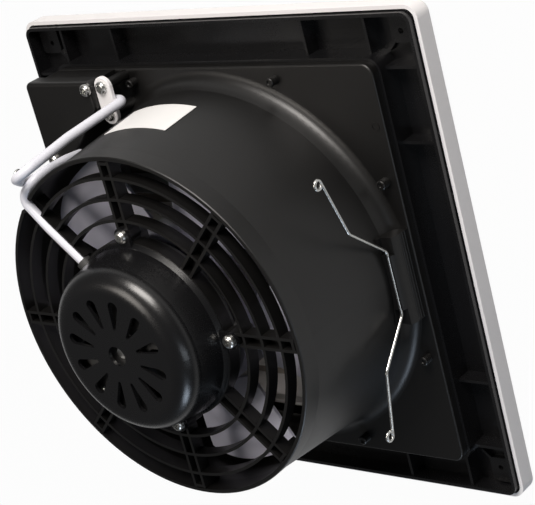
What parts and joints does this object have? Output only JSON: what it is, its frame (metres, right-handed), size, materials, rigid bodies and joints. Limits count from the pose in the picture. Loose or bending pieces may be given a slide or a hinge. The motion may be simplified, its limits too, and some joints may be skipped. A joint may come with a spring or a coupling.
{
  "type": "ceiling exhaust fan",
  "caption": "Square ceiling exhaust fan with a white louvred panel, black round outlet duct, domed motor, folding wire clips and a white motor lead.",
  "frame": {"origin": "bottom centre of the front panel's face", "axes": "+Z along the fan axis, from the room up into the ceiling; +X and +Y square to the panel's sides, terminal box at -X +Y"},
  "size_m": [0.3, 0.3, 0.147],
  "materials": {
    "white_plastic": "semi-gloss",
    "black_gloss": "gloss",
    "black_satin": "satin",
    "fan_grey": "satin",
    "zinc": "zinc plated",
    "die_cast": "cast",
    "laminations": "plain",
    "copper": "varnished",
    "rubber": "plain",
    "cable_white": "satin",
    "label_white": "plain",
    "capacitor_grey": "plain"
  },
  "bodies": {
    "housing": {"ceiling_frame": "black_gloss", "fan_body": "black_satin", "frame_rivets": "black_satin", "outlet_guard": "black_satin", "motor_cover": "black_gloss", "motor_screws": "zinc", "rear_bracket": "die_cast", "front_bracket": "die_cast", "stator_core": "laminations", "stator_windings": "copper", "bracket_bolts": "zinc", "rear_bearing": "zinc", "front_bearing": "zinc", "terminal_box": "black_satin", "terminal_cover": "black_satin", "cover_screws": "zinc", "terminal_block": "white_plastic", "terminal_screws": "zinc", "run_capacitor": "capacitor_grey", "supply_grommet": "rubber", "cord_clamp": "white_plastic", "clamp_screws": "zinc", "motor_lead": "cable_white", "lead_grommet": "rubber", "clip_rack_right": "black_satin", "clip_rack_left": "black_satin", "rating_label": "label_white"},
    "rotor": {"rotor_core": "laminations", "motor_shaft": "zinc", "impeller": "fan_grey", "impeller_nut": "zinc", "drive_pin": "zinc"},
    "panel": {"front_grille": "white_plastic"},
    "clip_right": {"wire_clip_right": "zinc"},
    "clip_left": {"wire_clip_left": "zinc"}
  },
  "joints": [
    {"name": "impeller_spin", "type": "hinge", "parent": "housing", "child": "rotor", "pos_m": [0, 0, 0.1], "axis": [0, 0, 1], "continuous": true},
    {"name": "grille_pull", "type": "slide", "parent": "housing", "child": "panel", "axis": [0, 0, -1], "range_m": [0, 0.03]},
    {"name": "clip_right_fold", "type": "hinge", "parent": "housing", "child": "clip_right", "pos_m": [0.1155, 0, 0.0397], "axis": [0, 1, 0], "range_deg": [0, 105]},
    {"name": "clip_left_fold", "type": "hinge", "parent": "housing", "child": "clip_left", "pos_m": [-0.1155, 0, 0.0397], "axis": [0, -1, 0], "range_deg": [0, 105]}
  ]
}
